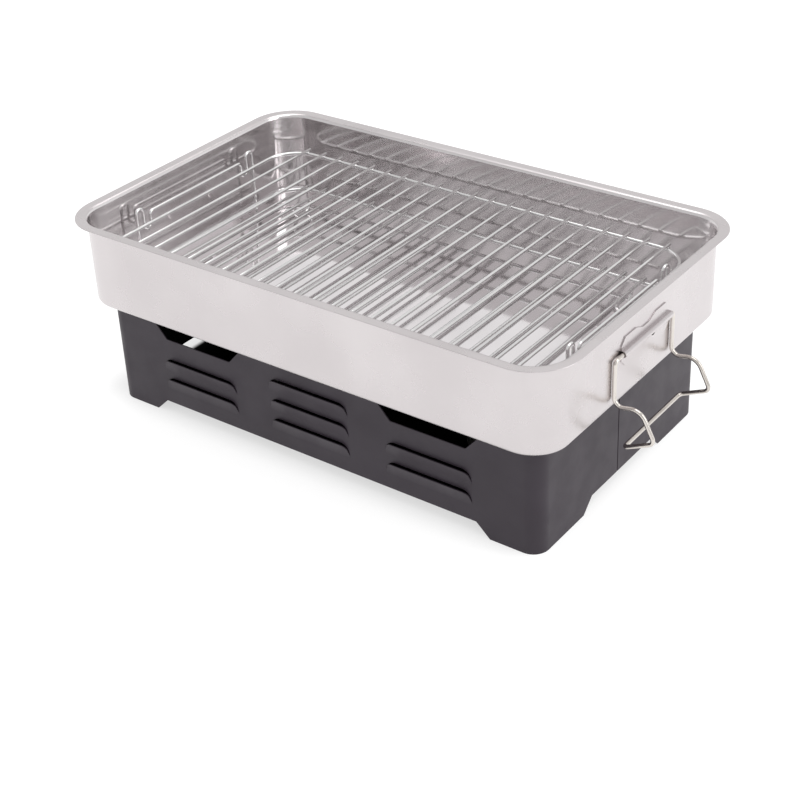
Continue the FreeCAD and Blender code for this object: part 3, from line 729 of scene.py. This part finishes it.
BAR_LEAN = 0.25 * MM
BAR_SAG = 0.25 * MM
BAR_STATIONS = (0, 0.15, 0.35, 0.5, 0.65, 0.85, 1)
BAR_BEAD = Vector((1.75, 2.0, 1.1)) * MM
FOOT_BEAD = Vector((1.5, 1.9, 1.2)) * MM


def rectangle_corners(half_x, half_y, z, radius):
    return [(Vector((-half_x, -half_y, z)), radius), (Vector((half_x, -half_y, z)), radius),
            (Vector((half_x, half_y, z)), radius), (Vector((-half_x, half_y, z)), radius)]


def make_grate(level_name):
    frame_low, frame_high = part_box(f"{level_name}_grate_frame")
    bars_low, bars_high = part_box(f"{level_name}_grate_bars")
    frame_z = (frame_low.z + frame_high.z) / 2
    half_x = (frame_high.x - frame_low.x) / 2 - FRAME_RADIUS
    half_y = frame_high.y - FRAME_RADIUS
    bm = bmesh.new()
    path = rounded_path(rectangle_corners(half_x, half_y, frame_z, FRAME_ROUND), closed=True)
    tube_mesh(bm, path, FRAME_RADIUS, closed=True)
    bmesh.ops.translate(bm, verts=bm.verts, vec=(GRATE_SHIFT, 0, 0))
    finish_piece(f"{level_name}_frame_wire", bm, f"{level_name}_grate", "wire_steel", WIRE,
                 f"{level_name}_grate_frame")
    bm = bmesh.new()
    bar_z = (bars_low.z + bars_high.z) / 2
    for k in range(BAR_COUNT):
        x = GRATE_SHIFT + (k - (BAR_COUNT - 1) / 2) * BAR_PITCH
        lean = random.uniform(-1, 1) * BAR_LEAN
        sag = random.uniform(0, 1) * BAR_SAG
        points = []
        for share in BAR_STATIONS:
            y = bars_low.y + (bars_high.y - bars_low.y) * share
            swell = math.sin(math.pi * share)
            points.append(Vector((x + lean * swell, y, bar_z - sag * swell)))
        tube_mesh(bm, points, BAR_RADIUS)
        for y in (-half_y, half_y):
            bead(bm, Vector((x, y, (bar_z + frame_z) / 2)), BAR_BEAD)
    finish_piece(f"{level_name}_bars", bm, f"{level_name}_grate", "wire_steel", WIRE,
                 f"{level_name}_grate_bars")


FOOT_BAR_NUMBER = 9
FOOT_SIDE = 77.5 * MM
FOOT_TOP_HALF = 11.0 * MM
FOOT_BASE_HALF = 6.0 * MM
FOOT_ROUND = 4.5 * MM


def make_lower_feet():
    bm = bmesh.new()
    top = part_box("lower_grate_feet")[1].z
    knee = top - 2 * BAR_RADIUS
    base = FLOOR_Z + BAR_RADIUS
    for side_x in (-1, 1):
        x = GRATE_SHIFT + side_x * FOOT_BAR_NUMBER * BAR_PITCH
        for side_y in (-1, 1):
            profile = [(-FOOT_TOP_HALF, top, 0), (-FOOT_TOP_HALF, knee, FOOT_ROUND),
                       (-FOOT_BASE_HALF, base, FOOT_ROUND), (FOOT_BASE_HALF, base, FOOT_ROUND),
                       (FOOT_TOP_HALF, knee, FOOT_ROUND), (FOOT_TOP_HALF, top, 0)]
            corners = [(Vector((x, side_y * (FOOT_SIDE + y), z)), r) for y, z, r in profile]
            tube_mesh(bm, rounded_path(corners), BAR_RADIUS, round_ends=False)
            for y in (-FOOT_TOP_HALF, FOOT_TOP_HALF):
                bead(bm, Vector((x, side_y * (FOOT_SIDE + y), top)), FOOT_BEAD)
    finish_piece("lower_wire_feet", bm, "lower_grate", "wire_steel", WIRE, "lower_grate_feet")


LEG_SIDE = 66.0 * MM
CURL_WIDTH = 7.0 * MM
CURL_ROUND = 3.2 * MM
CURL_TOP = 52.3 * MM
CURL_BOTTOM = 34.8 * MM
LIFT_BAR_LEVEL = 46.8 * MM


def make_end_stand(side_name):
    """Two legs, their curls and the lifting bar between them, in one wire."""
    low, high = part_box(f"upper_end_stand_{side_name}")
    x = (low.x + high.x) / 2
    half = [(-LEG_SIDE, 0, 0), (-LEG_SIDE, CURL_TOP, CURL_ROUND),
            (CURL_WIDTH - LEG_SIDE, CURL_TOP, CURL_ROUND),
            (CURL_WIDTH - LEG_SIDE, CURL_BOTTOM, CURL_ROUND),
            (2 * CURL_WIDTH - LEG_SIDE, CURL_BOTTOM, CURL_ROUND),
            (2 * CURL_WIDTH - LEG_SIDE, LIFT_BAR_LEVEL, CURL_ROUND)]
    profile = half + [(-y, z, r) for y, z, r in reversed(half)]
    bm = bmesh.new()
    corners = [(Vector((x, y, FLOOR_Z + z)), r) for y, z, r in profile]
    tube_mesh(bm, rounded_path(corners), BAR_RADIUS)
    finish_piece(f"end_stand_{side_name}", bm, "upper_grate", "wire_steel", WIRE,
                 f"upper_end_stand_{side_name}")


BAIL_BEND = 3.2 * MM
BAIL_SIDE_PLAY = 0.15 * MM
BAIL_SPACING = 77.5 * MM
BAIL_INSERT = 18.0 * MM
# Out from the pivot, down from it, bend radius; all in millimetres
BAIL_PROFILE = [(0.0, 0.0, 3.2), (0.0, 33.9, 6.0), (19.3, 29.9, 10.0), (30.3, 52.1, 4.0),
                (8.1, 62.1, 3.2)]


def make_bail(side_name, side):
    joint = next(j for j in frame["joints"] if j["name"] == f"bail_{side_name}_swing")
    pivot = Vector(joint["pos_m"])
    rear = BRACKET_HALF + BAIL_SIDE_PLAY + BAIL_BEND
    front = rear - BAIL_SPACING
    places = [(Vector((0, BAIL_INSERT - BRACKET_HALF, 0)), 0)]
    places += [(Vector((x * MM, front, -drop * MM)), r * MM) for x, drop, r in BAIL_PROFILE]
    places += [(Vector((x * MM, rear, -drop * MM)), r * MM)
               for x, drop, r in reversed(BAIL_PROFILE)]
    places += [(Vector((0, BRACKET_HALF - BAIL_INSERT, 0)), 0)]
    turn = Matrix.Rotation(0 if side > 0 else math.pi, 3, "Z")
    corners = [(pivot + turn @ place, radius) for place, radius in places]
    bm = bmesh.new()
    tube_mesh(bm, rounded_path(corners), BAIL_RADIUS, sides=20)
    finish_piece(f"bail_wire_{side_name}", bm, f"bail_{side_name}", "bail_steel", BAIL,
                 f"bail_{side_name}")


# Burners: a matted wool pad under a woven gauze; cup and ring keep the frame's shape

WOOL_EDGE = 2.0 * MM
WOOL_LUMP = 0.35 * MM
WOOL_LUMP_SPREAD = 260
WOOL_CUT_SHARE = 0.3
WOOL_SIDE_SHARE = 0.9
WOOL_TOP_SHARES = (0.85, 0.7, 0.55, 0.4, 0.25, 0.1, 0.0)
WOOL_COUNT = 72
GAUZE_PITCH = 2.2 * MM
GAUZE_WIRE = 0.2 * MM
GAUZE_STEP = 1.1 * MM
GAUZE_WEAVE = GAUZE_WIRE * 0.9


def wool_profile(radius, low, high):
    """(reach, z) from the middle of the base, round the edge, to the middle of the top."""
    cut = WOOL_EDGE * WOOL_CUT_SHARE
    profile = [(0.0, low), (radius - WOOL_EDGE, low), (radius - cut, low + cut),
               (radius, low + WOOL_EDGE), (radius, high - WOOL_EDGE),
               (radius - cut, high - cut), (radius - WOOL_EDGE, high)]
    return profile + [(radius * share, high) for share in WOOL_TOP_SHARES]


def make_wool_pad(side_name):
    """A round pad with soft edges and a lumpy top."""
    low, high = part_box(f"burner_{side_name}_wool_pad")
    middle = (low + high) / 2
    radius = (high.x - low.x) / 2
    bm = bmesh.new()
    rings = []
    for reach, z in wool_profile(radius, low.z, high.z):
        ring = []
        for k in range(WOOL_COUNT if reach else 1):
            angle = 2 * math.pi * k / WOOL_COUNT
            place = Vector((reach * math.cos(angle), reach * math.sin(angle), z))
            lump = (noise.noise(place * WOOL_LUMP_SPREAD) - 1) * WOOL_LUMP
            inward = Vector((-place.x, -place.y, 0))
            if reach > radius * WOOL_SIDE_SHARE:
                place -= inward.normalized() * lump
            elif z > middle.z:
                place.z += lump
            ring.append(bm.verts.new(place + Vector((middle.x, middle.y, 0))))
        rings.append(ring)
    for one, two in zip(rings, rings[1:]):
        for k in range(WOOL_COUNT):
            j = (k + 1) % WOOL_COUNT
            if len(one) == 1:
                bm.faces.new((one[0], two[j], two[k]))
            elif len(two) == 1:
                bm.faces.new((one[k], one[j], two[0]))
            else:
                bm.faces.new((one[k], one[j], two[j], two[k]))
    pad = finish_piece(f"wool_pad_{side_name}", bm, f"burner_{side_name}", "wool", WOOL,
                       f"burner_{side_name}_wool_pad", smooth_angle=60)


def make_gauze(side_name):
    """A disc of plain woven wire."""
    low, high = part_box(f"burner_{side_name}_gauze")
    middle = (low + high) / 2
    radius = (high.x - low.x) / 2 - GAUZE_WIRE
    bm = bmesh.new()
    lines = int(radius / GAUZE_PITCH)
    for turn in (0, 1):
        for i in range(-lines, lines + 1):
            across = i * GAUZE_PITCH
            half = math.sqrt(radius ** 2 - across ** 2)
            steps = max(2, int(2 * half / GAUZE_STEP))
            points = []
            for k in range(steps + 1):
                along = -half + 2 * half * k / steps
                weave = math.cos(math.pi * (along / GAUZE_PITCH + i + turn)) * GAUZE_WEAVE
                flat = (along, across) if turn == 0 else (across, along)
                points.append(Vector((middle.x + flat[0], middle.y + flat[1], middle.z + weave)))
            tube_mesh(bm, points, GAUZE_WIRE, sides=5, round_ends=False)
    finish_piece(f"gauze_{side_name}", bm, f"burner_{side_name}", "gauze_brass", GAUZE,
                 f"burner_{side_name}_gauze", smooth_angle=80)


# Pieces that keep the frame's shape and get a better finish


def dress_nodes():
    """Gives each carried-over node the finish of its kind."""
    for name, node in frame["nodes"].items():
        if name.startswith("bail_bracket"):
            material = BRACKET
        elif "wool" in name:
            material = WOOL
        elif "gauze" in name:
            material = GAUZE
        elif name.startswith("burner"):
            material = CUP
        elif name.startswith("stand"):
            material = PAINT
        elif name == "pan_shell":
            material = PAN_OUTSIDE
        elif name.startswith("bail"):
            material = BAIL
        else:
            material = WIRE
        node.data.materials.clear()
        node.data.materials.append(material)


# Floor, light and camera

STUDIO_DARK_SIDE = (0.1, -0.95, 0.2)
STUDIO_BRIGHT = 0.9
STUDIO_DARK = 0.68
STUDIO_TURN = (-0.25, 0.55)
TOP_LIGHT_POWER = 22
RIGHT_LIGHT_POWER = 14
FLOOR_REACH = 6.0
FLOOR_GLOW = 0.8
# The glow drops near the stand and the floor turns black under it: a painted shadow.
FLOOR_SHADED_GLOW = 0.62
FLOOR_SHADE_WIDTH = 18.0 * MM
FLOOR_SOFT_REACH = 6.0 * MM
# The painted shadow's zone under the stand, inset from its walls and shifted towards the left end.
FLOOR_DARK_INSET = (13.0 * MM, 18.0 * MM)
FLOOR_DARK_MIDDLE = (-12.0 * MM, 0, 0)
FLOOR_COLOUR = (0.35, 0.35, 0.35)
FLOOR_SHADOW_COLOUR = (0.004, 0.004, 0.004)


def floor_material():
    """Pale glowing sheet, as on a photo table, with a painted shadow under the stand: black inside
    a zone, its glow rising softly outside it.
    """
    material, tree, shader = new_material("floor_sheet")
    shader.inputs["Roughness"].default_value = 0.8
    shader.inputs["Specular IOR Level"].default_value = 0.0
    shader.inputs["Emission Color"].default_value = (1.0, 1.0, 1.0, 1)
    inset_x, inset_y = FLOOR_DARK_INSET
    half = (STAND_HALF_LENGTH - inset_x, STAND_HALF_WIDTH - inset_y, 1.0)
    away = outside_rectangle(tree, half, 0.0, FLOOR_DARK_MIDDLE)
    near = spread(tree, away, 0.0, FLOOR_SOFT_REACH, 0.0, FLOOR_SHADED_GLOW)
    rest = FLOOR_GLOW - FLOOR_SHADED_GLOW
    far = spread(tree, away, FLOOR_SOFT_REACH, inset_y + FLOOR_SHADE_WIDTH, 0.0, rest)
    colour = tree.nodes.new("ShaderNodeMix")
    colour.data_type = "RGBA"
    colour.inputs["A"].default_value = (*FLOOR_SHADOW_COLOUR, 1)
    colour.inputs["B"].default_value = (*FLOOR_COLOUR, 1)
    share = spread(tree, away, 0.0, FLOOR_SOFT_REACH, 0.0, 1.0)
    tree.links.new(share, colour.inputs["Factor"])
    tree.links.new(colour.outputs["Result"], shader.inputs["Base Color"])
    tree.links.new(arithmetic(tree, "ADD", near, far), shader.inputs["Emission Strength"])
    return material


def make_floor():
    """A wide pale floor."""
    bm = bmesh.new()
    reach = FLOOR_REACH
    corners = [(-reach, -reach), (reach, -reach), (reach, reach), (-reach, reach)]
    bm.faces.new([bm.verts.new((x, y, 0)) for x, y in corners])
    mesh = bpy.data.meshes.new("floor")
    bm.to_mesh(mesh)
    bm.free()
    mesh.materials.append(floor_material())
    floor = bpy.data.objects.new("floor", mesh)
    SCENE.collection.objects.link(floor)


def area_light(name, place, target, size, power):
    data = bpy.data.lights.new(name, "AREA")
    data.shape = "RECTANGLE"
    data.size, data.size_y = size
    data.energy = power
    light = bpy.data.objects.new(name, data)
    light.location = place
    light.rotation_euler = (Vector(target) - Vector(place)).to_track_quat("-Z", "Y").to_euler()
    SCENE.collection.objects.link(light)


def make_lights():
    world = bpy.data.worlds.new("studio")
    SCENE.world = world
    world.use_nodes = True
    tree = world.node_tree
    background = tree.nodes["Background"]
    background.inputs["Strength"].default_value = 1.0
    coordinates = tree.nodes.new("ShaderNodeTexCoord")
    facing = tree.nodes.new("ShaderNodeVectorMath")
    facing.operation = "DOT_PRODUCT"
    facing.inputs[1].default_value = STUDIO_DARK_SIDE
    tree.links.new(coordinates.outputs["Generated"], facing.inputs[0])
    shade = spread(tree, facing.outputs["Value"], *STUDIO_TURN, STUDIO_BRIGHT, STUDIO_DARK)
    tree.links.new(shade, background.inputs["Color"])
    area_light("top_softbox", (0.1, 0.3, 2.2), (0, 0, 0), (2.4, 2.0), TOP_LIGHT_POWER)
    area_light("right_softbox", (2.2, 0.4, 1.2), (0, 0, 0.08), (1.6, 1.6), RIGHT_LIGHT_POWER)


CAMERA_AZIMUTH = math.radians(37.559)
CAMERA_ELEVATION = math.radians(29.753)
CAMERA_ROLL = math.radians(-2.681)
CAMERA_PLACE = Vector((629.3, -817.8, 648.7)) * MM
CAMERA_FOCAL_PIXELS = 1610.5
CAMERA_CENTRE_ROW = 332.9
PHOTO_SIDE = 800


def make_camera():
    """The camera fitted to the photo; its lens is shifted, as the photo is a crop."""
    a, e, r = CAMERA_AZIMUTH, CAMERA_ELEVATION, CAMERA_ROLL
    forward = Vector((-math.sin(a) * math.cos(e), math.cos(a) * math.cos(e), -math.sin(e)))
    right = Vector((math.cos(a), math.sin(a), 0))
    up = right.cross(forward)
    image_right = math.cos(r) * right + math.sin(r) * up
    image_up = math.cos(r) * up - math.sin(r) * right
    data = bpy.data.cameras.new("camera")
    data.lens = CAMERA_FOCAL_PIXELS / PHOTO_SIDE * data.sensor_width
    data.shift_y = (CAMERA_CENTRE_ROW - PHOTO_SIDE / 2) / PHOTO_SIDE
    camera = bpy.data.objects.new("camera", data)
    basis = Matrix((image_right, image_up, -forward)).transposed().to_4x4()
    camera.matrix_world = Matrix.Translation(CAMERA_PLACE) @ basis
    SCENE.collection.objects.link(camera)
    SCENE.camera = camera


make_camera()
dress_nodes()
make_pan()
make_stand_shell("stand_front", False)
make_stand_shell("stand_rear", True)
for level_name in ("lower", "upper"):
    make_grate(level_name)
make_lower_feet()
for side_name, side in (("left", -1), ("right", 1)):
    make_end_stand(side_name)
    make_bail(side_name, side)
    make_wool_pad(side_name)
    make_gauze(side_name)
make_floor()
make_lights()
SCENE.view_settings.view_transform = "Standard"

bpy.context.view_layer.update()
